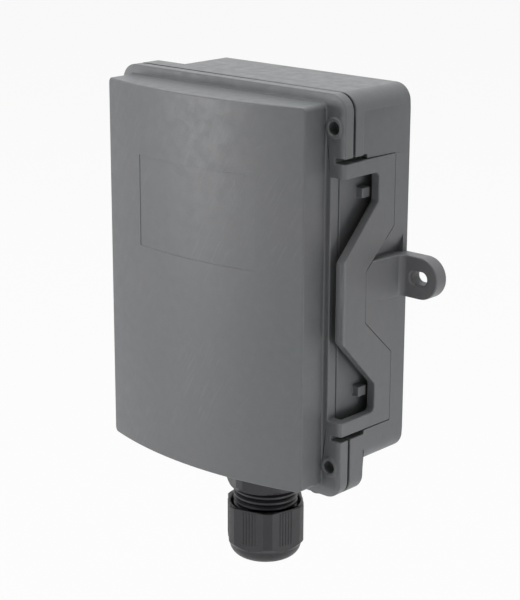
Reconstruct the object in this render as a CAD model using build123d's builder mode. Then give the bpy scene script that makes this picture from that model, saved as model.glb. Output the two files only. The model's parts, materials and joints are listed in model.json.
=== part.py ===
from build123d import *
from math import radians, tan
import os

os.makedirs("parts", exist_ok=True)

# Differential pressure sensor for wall mounting, sizes in millimetres.
# The origin is midway between the two wall lugs, on the wall. X runs right, Y into the wall, Z up.
# A depth is a distance from the wall towards the viewer, along -Y.

# Housing outline
cover_width = 85.0
cover_height = 115.0
cover_corner = 5.0
bottom_step = 8.0
left_step = 11.0

# Depths of the housing, one on top of the other
box_depth = 18.0
rim_depth = 5.9
lid_gap = 0.9
flange_thickness = 3.4
panel_rise = 8.7
panel_bow = 6.0

# Walls of the two mouldings
wall = 2.4
tray_floor = 2.4
rim_wall = 2.6
hinge_wall = 5.6
pocket_corner = 3.0

# Raised panel of the lid
panel_left_margin = 3.1
panel_right_margin = 6.9
panel_end_margin = 2.9
panel_corner = 1.5
panel_edge_radius = 0.5
panel_root_radius = 0.6
label_width = 44.0
label_height = 26.7
label_lift = 21.3
label_depth = 0.15
label_shift = 1.0

# Skirt of the lid and the foam gasket around it
skirt_depth = 2.5
skirt_thickness = 1.4
skirt_clearance = 0.4
skirt_left_stop = 7.0
gasket_width = 1.2
gasket_inset = 0.4

# Strap that latches the lid, moulded in one with it
latch_half_height = 40.25
latch_depth = 5.4
flange_setback = 4.9
slot_root = 3.7
strap_thickness = 2.8
strap_half_height = 38.8
strap_arm_width = 4.1
strap_back = 6.5
strap_bar_width = 6.9
strap_bar_half = 18.5
pad_back = 18.5
pad_back_half = 7.5
window_bar_half = 26.3
window_pad_half = 11.3
window_corner = 1.5
strap_edge_radius = 1.2
strap_clearance = 0.3
catch_offset = 28.8
catch_width = 3.0
catch_length = 3.4
catch_clearance = 0.3

# Shallow scoops in the side wall beside the strap
upper_scoop_depth = 0.9
lug_scoop_depth = 1.8
lug_scoop_height = 5.5
scoop_back_land = 2.0

# Collared holes for sealing screws
collar_side_margin = 3.9
collar_end_margin = 9.2
collar_diameter = 5.9
collar_height = 0.5
seal_screw_hole = 3.6
seal_screw_pilot = 2.6
seal_screw_depth = 12.0

# Wall lugs
lug_spacing = 100.0
lug_reach = 56.5
lug_height = 12.0
lug_thickness = 4.5
lug_slot_width = 3.8
lug_slot_length = 5.6
lug_slot_chamfer = 0.4
flare_start = 16.1
flare_width = 1.8
flare_root_radius = 2.0
flare_reach = 4.0

# Hinge at the left edge
knuckle_radius = 1.8
knuckle_length = 12.0
knuckle_spacing = 78.0
knuckle_clearance = 0.3
hinge_axis_depth = 20.9
hinge_pin_diameter = 1.8
hinge_pin_seat = 6.0
hinge_pin_recess = 1.0
hinge_bore_clearance = 0.05
hinge_press_clearance = 0.02

# Cable gland
gland_x = 0.5
gland_depth = 12.4
gland_boss_width = 30.0
gland_across_flats = 22.0
gland_across_corners = 24.0
gland_washer_thickness = 1.2
gland_hex_height = 7.9
gland_cone_height = 2.9
gland_neck_diameter = 19.6
gland_neck_length = 14.5
gland_entry_diameter = 16.0
gland_entry_length = 8.0
gland_entry_clearance = 0.1
gland_bore = 11.0
locknut_across_flats = 19.0
locknut_thickness = 3.5
nut_stand_off = 3.9
nut_hex_height = 11.9
nut_dome_height = 5.7
nut_dome_radius = 4.2
nut_dome_setback = 0.3
nut_bore_clearance = 0.15
nut_crown_chamfer = 1.2
nut_end_wall = 2.6
nut_cable_hole = 10.4
nut_turn = -45.0
gland_body_turn = 30.0
seal_diameter = 13.4
seal_length = 9.5
seal_cable_hole = 8.0
seal_clearance = 0.05
seal_proud = 1.5
clamp_ring_diameter = 16.2
clamp_ring_hole = 9.4
clamp_ring_clearance = 0.2

# Pressure ports
port_spacing = 42.0
port_depth = 11.8
port_flange_diameter = 10.0
port_flange_thickness = 2.0
port_root_diameter = 6.2
port_root_length = 6.5
port_tip_diameter = 5.0
port_tip_length = 6.5
port_chamfer = 0.6
port_thread_diameter = 7.0
port_thread_length = 6.5
port_nut_across_flats = 10.0
port_nut_thickness = 3.0
port_nut_turn = 30.0
port_nut_clearance = 0.3
port_seal_thickness = 1.0
port_clearance = 0.1
nipple_diameter = 2.1
nipple_length = 5.5
nipple_clearance = 0.05
port_bore = 1.3

# Circuit board and what carries it
board_width = 60.0
board_height = 73.0
board_thickness = 1.6
board_side_gap = 2.0
board_top_gap = 2.1
board_hole_inset = 4.0
board_hole = 3.2
boss_height = 5.6
boss_diameter = 6.0
boss_pilot = 2.3
boss_pilot_clearance = 0.02
board_screw_length = 6.0
board_screw_head = 5.2
board_screw_head_height = 1.8

# Pressure cell with two nipples, and the silicone tubes
cell_shift_x = -0.4
cell_shift_z = -4.5
cell_width = 20.0
cell_height = 14.0
cell_thickness = 7.5
cell_nipple_spacing = 11.0
tube_diameter = 4.0
tube_sides = 12
tube_end_gap = 0.3
tube_rise = 12.0
tube_slope = 40.0
tube_bend = 13.0

# Terminal block
terminal_count = 4
terminal_pitch = 5.08
terminal_shift_x = 24.6
terminal_rise = 18.0
terminal_width = 9.0
terminal_thickness = 10.0
terminal_end = 0.5
terminal_step = 3.0
terminal_screw_diameter = 3.6
terminal_screw_sink = 1.2
terminal_screw_length = 3.0
terminal_screw_slot = 0.6
terminal_clearance = 0.05
terminal_wire_hole = 3.0
terminal_wire_hole_depth = 5.0

# Setting switches, zero button and other board parts, placed from the middle or top of the board
switch_count = 4
switch_pitch = 2.54
switch_shift_x = -8.9
switch_drop = 11.0
switch_height = 7.0
switch_thickness = 3.6
lever_width = 1.3
lever_height = 1.3
lever_stick_out = 0.9
lever_travel = 1.4
lever_clearance = 0.1
lever_root = 1.2
button_shift_x = 17.1
button_case_width = 6.0
button_case_thickness = 3.5
button_diameter = 3.4
button_stick_out = 2.0
button_travel = 0.5
button_root = 1.0
button_clearance = 0.05
chip_width = 9.0
chip_thickness = 1.4
chip_shift_x = -16.9
chip_shift_z = 7.5
capacitor_diameter = 6.3
capacitor_length = 7.0
capacitor_shift_x = 23.1
capacitor_shift_z = 11.5
capacitor_pitch = 9.0
lamp_diameter = 3.0
lamp_length = 3.0
lamp_chamfer = 0.6
lamp_shift_x = 6.1

# Margin for picking edges by position
small = 0.01

# Worked out from the sizes above
right_x = cover_width / 2
left_x = -cover_width / 2
top_z = (cover_height - bottom_step) / 2
bottom_z = top_z - cover_height
mid_z = (top_z + bottom_z) / 2
box_left_x = left_x + left_step
box_mid_x = (box_left_x + right_x) / 2
box_bottom_z = bottom_z + bottom_step
rim_front = box_depth + rim_depth
flange_back = rim_front + lid_gap
flange_front = flange_back + flange_thickness
total_depth = flange_front + panel_rise + panel_bow
panel_width = cover_width - panel_left_margin - panel_right_margin
panel_height = cover_height - 2 * panel_end_margin
panel_mid_x = left_x + panel_left_margin + panel_width / 2
bow_radius = (panel_width**2 / 4 + panel_bow**2) / (2 * panel_bow)
latch_floor_x = right_x - latch_depth
cavity_right_x = latch_floor_x - wall
strap_inner_x = right_x - strap_thickness
window_back = strap_back + strap_bar_width
arm_inner_half = strap_half_height - strap_arm_width
tray_left_x = left_x + hinge_wall
tray_width = cavity_right_x - tray_left_x
tray_mid_x = (cavity_right_x + tray_left_x) / 2
tray_height = cover_height - 2 * rim_wall
tray_depth = box_depth + tray_floor
cavity_left_x = box_left_x + wall
cavity_width = cavity_right_x - cavity_left_x
cavity_mid_x = (cavity_right_x + cavity_left_x) / 2
cavity_top_z = top_z - wall
cavity_height = cavity_top_z - box_bottom_z - wall
hinge_x = left_x + knuckle_radius
hinge_top_z = mid_z + (knuckle_spacing + knuckle_length) / 2 + hinge_pin_seat
knuckle_bottoms = [mid_z + side * knuckle_spacing / 2 - knuckle_length / 2 for side in (1, -1)]
core_width = right_x - cavity_right_x - 2 * wall
core_mid_x = (right_x + cavity_right_x) / 2
core_low_z = mid_z + latch_half_height + wall
core_height = cavity_top_z - core_low_z
core_mid_z = core_low_z + core_height / 2
core_depth = rim_front - seal_screw_depth - wall
seal_screw_places = [
    (right_x - collar_side_margin, mid_z + side * (cover_height / 2 - collar_end_margin)) for side in (1, -1)
]
port_places = [(-port_spacing / 2, -port_depth), (port_spacing / 2, -port_depth)]
boss_face = wall + boss_height
board_face = boss_face + board_thickness
gland_hex_top_z = bottom_z - gland_washer_thickness
gland_hex_bottom_z = gland_hex_top_z - gland_hex_height
gland_neck_end_z = gland_hex_bottom_z - gland_cone_height - gland_neck_length
nut_top_z = gland_hex_bottom_z - gland_cone_height - nut_stand_off
nut_hex_bottom_z = nut_top_z - nut_hex_height
nut_end_z = nut_hex_bottom_z - nut_dome_height
nut_floor_z = nut_end_z + nut_end_wall
nut_dome_top_radius = gland_across_flats / 2 - nut_dome_setback
nut_bore_radius = gland_neck_diameter / 2 + nut_bore_clearance
port_flange_top_z = box_bottom_z - port_seal_thickness
port_root_top_z = port_flange_top_z - port_flange_thickness
port_tip_top_z = port_root_top_z - port_root_length
port_tip_end_z = port_tip_top_z - port_tip_length
port_thread_end_z = port_flange_top_z + port_thread_length
port_nipple_end_z = port_thread_end_z + nipple_length
skirt_corner = pocket_corner - skirt_clearance
slot_mid_half = (strap_half_height + latch_half_height) / 2
board_mid_x = cavity_left_x + board_side_gap + board_width / 2
board_mid_z = cavity_top_z - board_top_gap - board_height / 2
board_top_z = board_mid_z + board_height / 2
board_bottom_z = board_mid_z - board_height / 2
cell_x = board_mid_x + cell_shift_x
cell_bottom_z = board_mid_z + cell_shift_z
terminal_x = board_mid_x + terminal_shift_x
terminal_z = board_bottom_z + terminal_rise
switch_x = board_mid_x + switch_shift_x
switch_z = board_top_z - switch_drop
button_x = board_mid_x + button_shift_x
chip_x = board_mid_x + chip_shift_x
chip_z = board_mid_z + chip_shift_z
capacitor_x = board_mid_x + capacitor_shift_x
capacitor_z = board_mid_z + capacitor_shift_z
lamp_x = board_mid_x + lamp_shift_x
terminal_length = terminal_count * terminal_pitch + 2 * terminal_end
terminal_front = board_face + terminal_thickness
terminal_heights = [
    terminal_z + terminal_pitch * (row - (terminal_count - 1) / 2) for row in range(terminal_count)
]
terminal_screw_places = [(terminal_x + terminal_step / 2, height) for height in terminal_heights]
terminal_wire_places = [(-board_face - terminal_wire_hole, height) for height in terminal_heights]
switch_front = board_face + switch_thickness
lever_places = [switch_x + switch_pitch * (slot - (switch_count - 1) / 2) for slot in range(switch_count)]
button_front = board_face + button_case_thickness
board_hole_x = board_width / 2 - board_hole_inset
board_hole_z = board_height / 2 - board_hole_inset
board_screw_places = [
    (board_mid_x + across * board_hole_x, board_mid_z + up * board_hole_z)
    for across in (1, -1)
    for up in (1, -1)
]


def depth_plane(depth):
    """Plane facing the viewer, at a distance from the wall."""
    return Plane.XZ.offset(depth)


def latch_plane(x):
    """Plane facing right on the latch's middle line: local x is the depth from the wall."""
    return Plane(origin=(x, 0, mid_z), x_dir=(0, -1, 0), z_dir=(1, 0, 0))


def gland_plane(z):
    """Level plane on the cable gland's axis."""
    return Plane.XY.offset(z).shift_origin((gland_x, -gland_depth, z))


gland_axis_plane = Plane(origin=(gland_x, -gland_depth, 0), x_dir=(1, 0, 0), z_dir=(0, -1, 0))
gland_axis = Axis((gland_x, -gland_depth, 0), (0, 0, 1))

# Base: the wall-side box with its wide rim
with BuildPart() as base:
    with BuildSketch(depth_plane(0)):
        with Locations((box_mid_x, (top_z + box_bottom_z) / 2)):
            RectangleRounded(right_x - box_left_x, top_z - box_bottom_z, cover_corner)
        with Locations((gland_x, bottom_z)):
            Rectangle(gland_boss_width, bottom_step + cover_corner, align=(Align.CENTER, Align.MIN))
    extrude(amount=box_depth)
    with BuildSketch(depth_plane(box_depth)):
        with Locations((0, mid_z)):
            RectangleRounded(cover_width, cover_height, cover_corner)
    extrude(amount=rim_depth)
    # Wall lugs, with a flare that runs out of the right-hand side wall
    with BuildSketch(depth_plane(0)):
        SlotOverall(2 * lug_reach, lug_height)
    extrude(amount=lug_thickness)
    with BuildSketch(Plane.XY.offset(-lug_height / 2)):
        with BuildLine():
            flare = FilletPolyline(
                (right_x, -flare_start),
                (right_x + flare_width, -lug_thickness),
                (right_x + flare_reach, -lug_thickness),
                radius=flare_root_radius,
            )
            Polyline(
                flare @ 1,
                (right_x + flare_reach, 0),
                (right_x - wall, 0),
                (right_x - wall, -flare_start),
                flare @ 0,
            )
        make_face()
    extrude(amount=lug_height)
    # Hollow of the shallow tray under the lid, of the box behind it and of the gland boss
    with BuildSketch(depth_plane(tray_depth)):
        with Locations((tray_mid_x, mid_z)):
            RectangleRounded(tray_width, tray_height, pocket_corner)
    extrude(amount=rim_depth, mode=Mode.SUBTRACT)
    with BuildSketch(depth_plane(wall)):
        with Locations((cavity_mid_x, cavity_top_z - cavity_height / 2)):
            RectangleRounded(cavity_width, cavity_height, pocket_corner)
        with Locations((gland_x, bottom_z + wall)):
            Rectangle(
                gland_boss_width - 2 * wall,
                bottom_step + pocket_corner,
                align=(Align.CENTER, Align.MIN),
            )
    extrude(amount=rim_front, mode=Mode.SUBTRACT)
    # Pocket in the side wall that takes the lid's strap
    with BuildSketch(latch_plane(latch_floor_x)):
        with BuildLine():
            Polyline(
                (rim_front + rim_depth, 0),
                (rim_front + rim_depth, latch_half_height),
                (box_depth, latch_half_height),
                (box_depth, strap_half_height + strap_clearance),
                (strap_back - strap_clearance, strap_half_height + strap_clearance),
                (strap_back - strap_clearance, strap_bar_half - strap_clearance / 2),
                (pad_back - strap_clearance, pad_back_half - strap_clearance / 2),
                (pad_back - strap_clearance, 0),
            )
            mirror(about=Plane.XZ)
        make_face()
    extrude(amount=latch_depth + flare_reach, mode=Mode.SUBTRACT)
    # Scoops that ease a finger in beside the strap: above it, and over the lug
    with BuildSketch(Plane.XY.offset(mid_z + strap_half_height)):
        with BuildLine():
            Polyline(
                (right_x - upper_scoop_depth, -tray_depth),
                (right_x, -tray_depth),
                (right_x, -scoop_back_land),
                close=True,
            )
        make_face()
    extrude(amount=top_z - cover_corner - mid_z - strap_half_height, mode=Mode.SUBTRACT)
    with BuildSketch(depth_plane(scoop_back_land)):
        with BuildLine():
            Polyline(
                (right_x - lug_scoop_depth, lug_height / 2),
                (right_x + flare_reach, lug_height / 2),
                (right_x, lug_height / 2 + lug_scoop_height),
                close=True,
            )
        make_face()
    extrude(amount=pad_back - scoop_back_land, mode=Mode.SUBTRACT)
    # Catch noses that stand in the strap's two windows
    with BuildSketch(latch_plane(latch_floor_x)):
        for side in (1, -1):
            with Locations((window_back + catch_length / 2, side * catch_offset)):
                Rectangle(catch_length, catch_width)
    extrude(amount=strap_inner_x - catch_clearance - latch_floor_x)
    # Core in the thick upper corner, open at the back, and pilot holes for sealing screws
    with BuildSketch(depth_plane(0)):
        with Locations((core_mid_x, core_mid_z)):
            Rectangle(core_width, core_height)
    extrude(amount=core_depth, mode=Mode.SUBTRACT)
    with BuildSketch(depth_plane(rim_front)):
        with Locations(*seal_screw_places):
            Circle(seal_screw_pilot / 2)
    extrude(amount=-seal_screw_depth, mode=Mode.SUBTRACT)
    # Bosses for the circuit board
    with BuildSketch(depth_plane(wall / 2)):
        with Locations(*board_screw_places):
            Circle(boss_diameter / 2)
    extrude(amount=boss_face - wall / 2)
    with BuildSketch(depth_plane(boss_face)):
        with Locations(*board_screw_places):
            Circle(boss_pilot / 2)
    extrude(amount=-boss_height, mode=Mode.SUBTRACT)
    # Notches and bore of the hinge
    with BuildSketch(depth_plane(box_depth)):
        for side in (1, -1):
            with Locations((left_x, mid_z + side * knuckle_spacing / 2)):
                Rectangle(
                    4 * knuckle_radius + 2 * knuckle_clearance,
                    knuckle_length + 2 * knuckle_clearance,
                )
    extrude(amount=rim_depth, mode=Mode.SUBTRACT)
    with BuildSketch(Plane.XY.offset(bottom_z)):
        with Locations((hinge_x, -hinge_axis_depth)):
            Circle(hinge_pin_diameter / 2 + hinge_press_clearance)
    extrude(amount=hinge_top_z - bottom_z, mode=Mode.SUBTRACT)
    # Bores for the gland and the two ports
    with BuildSketch(gland_plane(bottom_z)):
        Circle(gland_entry_diameter / 2 + gland_entry_clearance)
    extrude(amount=wall, mode=Mode.SUBTRACT)
    with BuildSketch(Plane.XY.offset(box_bottom_z)):
        with Locations(*port_places):
            Circle(port_thread_diameter / 2 + port_clearance)
    extrude(amount=wall, mode=Mode.SUBTRACT)
    # Room for the port nuts beside the rounded walls of the hollow
    with BuildSketch(Plane.XY.offset(box_bottom_z + wall)):
        with Locations(*port_places):
            RegularPolygon(
                port_nut_across_flats / 2 + port_nut_clearance,
                6,
                major_radius=False,
                rotation=port_nut_turn,
            )
    extrude(amount=port_nut_thickness + port_nut_clearance, mode=Mode.SUBTRACT)
    # Slotted screw holes in the lugs
    with BuildSketch(depth_plane(0)):
        with Locations((-lug_spacing / 2, 0), (lug_spacing / 2, 0)):
            SlotOverall(lug_slot_length, lug_slot_width)
    extrude(amount=lug_thickness, mode=Mode.SUBTRACT)
    lug_faces = base.faces().filter_by(Axis.Y).filter_by_position(Axis.Y, -lug_thickness, -lug_thickness)
    slot_wires = [face.inner_wires()[0] for face in lug_faces if face.inner_wires()]
    chamfer([edge for wire in slot_wires for edge in wire.edges()], lug_slot_chamfer)
base.part.label = "base"
export_step(base.part, "parts/base.step")

# Lid: bowed panel on a flange, with the K-shaped strap
with BuildPart() as lid:
    with BuildSketch(depth_plane(flange_back)):
        with Locations((0, mid_z)):
            RectangleRounded(cover_width, cover_height, cover_corner)
    extrude(amount=flange_thickness)
    with BuildSketch(Plane.XY.offset(mid_z - panel_height / 2)):
        with Locations((panel_mid_x, -flange_back)):
            Rectangle(panel_width, total_depth - flange_back, align=(Align.CENTER, Align.MAX))
        with Locations((panel_mid_x, bow_radius - total_depth)):
            Circle(bow_radius, mode=Mode.INTERSECT)
    extrude(amount=panel_height)
    corner_edges = lid.edges().filter_by(Axis.Y).filter_by_position(Axis.Y, -total_depth, -flange_front)
    fillet(corner_edges, panel_corner)
    bow_face = lid.faces().filter_by(GeomType.CYLINDER).sort_by(SortBy.AREA)[-1]
    fillet(bow_face.edges(), panel_edge_radius)
    flange_face = lid.faces().filter_by(Axis.Y).sort_by(SortBy.AREA)[-2]
    fillet(flange_face.inner_wires()[0].edges(), panel_root_radius)
    # Shallow field for a label
    with BuildSketch(Plane.XY.offset(mid_z + label_lift - label_height / 2)):
        with Locations((panel_mid_x + label_shift, -flange_back)):
            Rectangle(label_width, total_depth, align=(Align.CENTER, Align.MAX))
        with Locations((panel_mid_x, bow_radius - total_depth)):
            Circle(bow_radius - label_depth, mode=Mode.SUBTRACT)
    extrude(amount=label_height, mode=Mode.SUBTRACT)
    # Hollow behind the panel
    with BuildSketch(Plane.XY.offset(mid_z - panel_height / 2 + wall)):
        with Locations((panel_mid_x, -flange_back)):
            Rectangle(panel_width - 2 * wall, total_depth - flange_back, align=(Align.CENTER, Align.MAX))
        with Locations((panel_mid_x, bow_radius - total_depth)):
            Circle(bow_radius - wall, mode=Mode.INTERSECT)
    extrude(amount=panel_height - 2 * wall, mode=Mode.SUBTRACT)
    # The flange gives way to the strap on the latch side, and two slots free the strap's arms
    with BuildSketch(depth_plane(flange_back)):
        with Locations((right_x, mid_z)):
            Rectangle(2 * flange_setback, 2 * arm_inner_half)
        with Locations((right_x, mid_z + slot_mid_half), (right_x, mid_z - slot_mid_half)):
            Rectangle(2 * slot_root, latch_half_height - strap_half_height)
    extrude(amount=flange_thickness, mode=Mode.SUBTRACT)
    # Strap: two arms, two bars and a finger pad, with a window above and below the pad
    with BuildSketch(latch_plane(strap_inner_x)):
        with BuildLine():
            Polyline(
                (flange_front, 0),
                (flange_front, strap_half_height),
                (strap_back, strap_half_height),
                (strap_back, strap_bar_half),
                (pad_back, pad_back_half),
                (pad_back, 0),
            )
            mirror(about=Plane.XZ)
        make_face()
        for side in (1, -1):
            with BuildLine():
                FilletPolyline(
                    (flange_front, side * window_pad_half),
                    (window_back, side * window_bar_half),
                    (window_back, side * arm_inner_half),
                    (flange_front, side * arm_inner_half),
                    radius=window_corner,
                )
                Line((flange_front, side * arm_inner_half), (flange_front, side * window_pad_half))
            make_face(mode=Mode.SUBTRACT)
    extrude(amount=strap_thickness)
    strap_front_edges = (
        lid.edges()
        .filter_by(Axis.Z)
        .filter_by_position(Axis.X, right_x - small, right_x + small)
        .filter_by_position(Axis.Y, -flange_front - small, -flange_front + small)
        .filter_by_position(Axis.Z, mid_z - strap_half_height - small, mid_z + strap_half_height + small)
    )
    fillet(strap_front_edges, strap_edge_radius)
    # Raised collars round the two holes for sealing screws
    with BuildSketch(depth_plane(flange_front)):
        with Locations(*seal_screw_places):
            Circle(collar_diameter / 2)
    extrude(amount=collar_height)
    with BuildSketch(depth_plane(flange_back)):
        with Locations(*seal_screw_places):
            Circle(seal_screw_hole / 2)
    extrude(amount=flange_thickness + collar_height, mode=Mode.SUBTRACT)
    # Skirt on three sides that drops into the base
    with BuildSketch(depth_plane(flange_back - skirt_depth)):
        with Locations((tray_mid_x, mid_z)):
            RectangleRounded(
                tray_width - 2 * skirt_clearance,
                tray_height - 2 * skirt_clearance,
                skirt_corner,
            )
            RectangleRounded(
                tray_width - 2 * skirt_clearance - 2 * skirt_thickness,
                tray_height - 2 * skirt_clearance - 2 * skirt_thickness,
                skirt_corner - skirt_thickness,
                mode=Mode.SUBTRACT,
            )
        with Locations((tray_left_x, mid_z)):
            Rectangle(2 * skirt_left_stop, tray_height, mode=Mode.SUBTRACT)
    extrude(amount=skirt_depth + flange_thickness / 2)
    # Hinge knuckles
    for knuckle_z in knuckle_bottoms:
        with BuildSketch(Plane.XY.offset(knuckle_z)):
            with Locations((hinge_x, -hinge_axis_depth)):
                Circle(knuckle_radius)
                Rectangle(
                    2 * knuckle_radius,
                    flange_front - hinge_axis_depth - panel_root_radius,
                    align=(Align.CENTER, Align.MAX),
                )
                Circle(hinge_pin_diameter / 2 + hinge_bore_clearance, mode=Mode.SUBTRACT)
        extrude(amount=knuckle_length)
lid.part.label = "lid"
export_step(lid.part, "parts/lid.step")

# Foam gasket between the lid and the base's rim
with BuildPart() as lid_gasket:
    with BuildSketch(depth_plane(rim_front)):
        with Locations((tray_mid_x, mid_z)):
            RectangleRounded(
                tray_width + 2 * (gasket_inset + gasket_width),
                tray_height + 2 * (gasket_inset + gasket_width),
                pocket_corner + gasket_inset + gasket_width,
            )
            RectangleRounded(
                tray_width + 2 * gasket_inset,
                tray_height + 2 * gasket_inset,
                pocket_corner + gasket_inset,
                mode=Mode.SUBTRACT,
            )
    extrude(amount=lid_gap)
lid_gasket.part.label = "lid_gasket"
export_step(lid_gasket.part, "parts/lid_gasket.step")

# Steel pin through both hinge knuckles
with BuildPart() as hinge_pin:
    with BuildSketch(Plane.XY.offset(bottom_z + hinge_pin_recess)):
        with Locations((hinge_x, -hinge_axis_depth)):
            Circle(hinge_pin_diameter / 2)
    extrude(amount=hinge_top_z - bottom_z - hinge_pin_recess)
hinge_pin.part.label = "hinge_pin"
export_step(hinge_pin.part, "parts/hinge_pin.step")

# Cable gland, from the housing downwards: washer, body, lock nut, seal, clamp ring, dome nut
with BuildPart() as gland_washer:
    with BuildSketch(gland_plane(bottom_z - gland_washer_thickness)):
        Circle(gland_across_flats / 2)
        Circle(gland_entry_diameter / 2 + gland_entry_clearance, mode=Mode.SUBTRACT)
    extrude(amount=gland_washer_thickness)
gland_washer.part.label = "gland_washer"
export_step(gland_washer.part, "parts/gland_washer.step")

with BuildPart() as gland_body:
    with BuildSketch(gland_plane(gland_hex_bottom_z - gland_cone_height)):
        RegularPolygon(gland_across_flats / 2, 6, major_radius=False, rotation=gland_body_turn)
    extrude(amount=gland_hex_height + gland_cone_height)
    with BuildSketch(gland_axis_plane):
        with BuildLine():
            Polyline(
                (0, gland_hex_top_z),
                (gland_across_corners / 2, gland_hex_top_z),
                (gland_across_corners / 2, gland_hex_bottom_z),
                (gland_neck_diameter / 2, gland_hex_bottom_z - gland_cone_height),
                (0, gland_hex_bottom_z - gland_cone_height),
                close=True,
            )
        make_face()
    revolve(axis=gland_axis, mode=Mode.INTERSECT)
    with BuildSketch(gland_plane(gland_neck_end_z)):
        Circle(gland_neck_diameter / 2)
    extrude(amount=gland_neck_length)
    with BuildSketch(gland_plane(gland_hex_top_z)):
        Circle(gland_entry_diameter / 2)
    extrude(amount=gland_entry_length)
    with BuildSketch(gland_plane(gland_neck_end_z)):
        Circle(gland_bore / 2)
    extrude(amount=gland_entry_length - gland_neck_end_z + gland_hex_top_z, mode=Mode.SUBTRACT)
    with BuildSketch(gland_plane(gland_neck_end_z)):
        Circle(seal_diameter / 2 + seal_clearance)
    extrude(amount=seal_length - seal_proud, mode=Mode.SUBTRACT)
gland_body.part.label = "gland_body"
export_step(gland_body.part, "parts/gland_body.step")

with BuildPart() as gland_locknut:
    with BuildSketch(gland_plane(bottom_z + wall)):
        RegularPolygon(locknut_across_flats / 2, 6, major_radius=False)
        Circle(gland_entry_diameter / 2 + gland_entry_clearance / 2, mode=Mode.SUBTRACT)
    extrude(amount=locknut_thickness)
gland_locknut.part.label = "gland_locknut"
export_step(gland_locknut.part, "parts/gland_locknut.step")

with BuildPart() as gland_seal:
    with BuildSketch(gland_plane(gland_neck_end_z - seal_proud)):
        Circle(seal_diameter / 2)
        Circle(seal_cable_hole / 2, mode=Mode.SUBTRACT)
    extrude(amount=seal_length)
gland_seal.part.label = "gland_seal"
export_step(gland_seal.part, "parts/gland_seal.step")

with BuildPart() as gland_clamp_ring:
    with BuildSketch(gland_plane(nut_floor_z)):
        Circle(clamp_ring_diameter / 2)
        Circle(clamp_ring_hole / 2, mode=Mode.SUBTRACT)
    extrude(amount=gland_neck_end_z - seal_proud - nut_floor_z)
gland_clamp_ring.part.label = "gland_clamp_ring"
export_step(gland_clamp_ring.part, "parts/gland_clamp_ring.step")

with BuildPart() as gland_nut:
    with BuildSketch(gland_plane(nut_end_z)):
        RegularPolygon(gland_across_flats / 2, 6, major_radius=False, rotation=nut_turn)
    extrude(amount=nut_top_z - nut_end_z)
    with BuildSketch(gland_axis_plane):
        with BuildLine():
            Polyline(
                (nut_dome_top_radius, nut_end_z + nut_dome_radius),
                (gland_across_corners / 2, nut_hex_bottom_z),
                (gland_across_corners / 2, nut_top_z),
                (0, nut_top_z),
                (0, nut_end_z),
                (nut_dome_top_radius - nut_dome_radius, nut_end_z),
            )
            RadiusArc(
                (nut_dome_top_radius - nut_dome_radius, nut_end_z),
                (nut_dome_top_radius, nut_end_z + nut_dome_radius),
                -nut_dome_radius,
            )
        make_face()
    revolve(axis=gland_axis, mode=Mode.INTERSECT)
    with BuildSketch(gland_axis_plane):
        with BuildLine():
            Polyline(
                (0, nut_top_z),
                (nut_bore_radius + nut_crown_chamfer / 2, nut_top_z),
                (nut_bore_radius, nut_top_z - nut_crown_chamfer),
                (nut_bore_radius, gland_neck_end_z - clamp_ring_clearance),
                (clamp_ring_diameter / 2 + clamp_ring_clearance, gland_neck_end_z - clamp_ring_clearance),
                (clamp_ring_diameter / 2 + clamp_ring_clearance, nut_floor_z),
                (nut_cable_hole / 2, nut_floor_z),
                (nut_cable_hole / 2, nut_end_z),
                (0, nut_end_z),
                close=True,
            )
        make_face()
    revolve(axis=gland_axis, mode=Mode.SUBTRACT)
gland_nut.part.label = "gland_nut"
export_step(gland_nut.part, "parts/gland_nut.step")

# Pressure ports: hose nipple outside, flange, threaded shank through the wall, small nipple inside
for port_name, port_place in zip(("port_plus", "port_minus"), port_places):
    with BuildPart() as port:
        with BuildSketch(Plane(origin=(port_place[0], port_place[1], 0), x_dir=(1, 0, 0), z_dir=(0, -1, 0))):
            with BuildLine():
                Polyline(
                    (port_bore / 2, port_nipple_end_z),
                    (nipple_diameter / 2, port_nipple_end_z),
                    (nipple_diameter / 2, port_thread_end_z),
                    (port_thread_diameter / 2, port_thread_end_z),
                    (port_thread_diameter / 2, port_flange_top_z),
                    (port_flange_diameter / 2, port_flange_top_z),
                    (port_flange_diameter / 2, port_root_top_z),
                    (port_root_diameter / 2, port_root_top_z),
                    (port_root_diameter / 2, port_tip_top_z),
                    (port_tip_diameter / 2, port_tip_top_z),
                    (port_tip_diameter / 2, port_tip_end_z + port_chamfer),
                    (port_tip_diameter / 2 - port_chamfer, port_tip_end_z),
                    (port_bore / 2, port_tip_end_z),
                    close=True,
                )
            make_face()
        revolve(axis=Axis((port_place[0], port_place[1], 0), (0, 0, 1)))
    port.part.label = port_name
    export_step(port.part, "parts/" + port_name + ".step")

with BuildPart() as port_seals:
    with BuildSketch(Plane.XY.offset(port_flange_top_z)):
        with Locations(*port_places):
            Circle(port_flange_diameter / 2 - port_clearance)
            Circle(port_thread_diameter / 2 + port_clearance, mode=Mode.SUBTRACT)
    extrude(amount=port_seal_thickness)
port_seals.part.label = "port_seals"
export_step(port_seals.part, "parts/port_seals.step")

with BuildPart() as port_nuts:
    with BuildSketch(Plane.XY.offset(box_bottom_z + wall)):
        with Locations(*port_places):
            RegularPolygon(port_nut_across_flats / 2, 6, major_radius=False, rotation=port_nut_turn)
            Circle(port_thread_diameter / 2 + port_clearance / 2, mode=Mode.SUBTRACT)
    extrude(amount=port_nut_thickness)
port_nuts.part.label = "port_nuts"
export_step(port_nuts.part, "parts/port_nuts.step")

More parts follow.
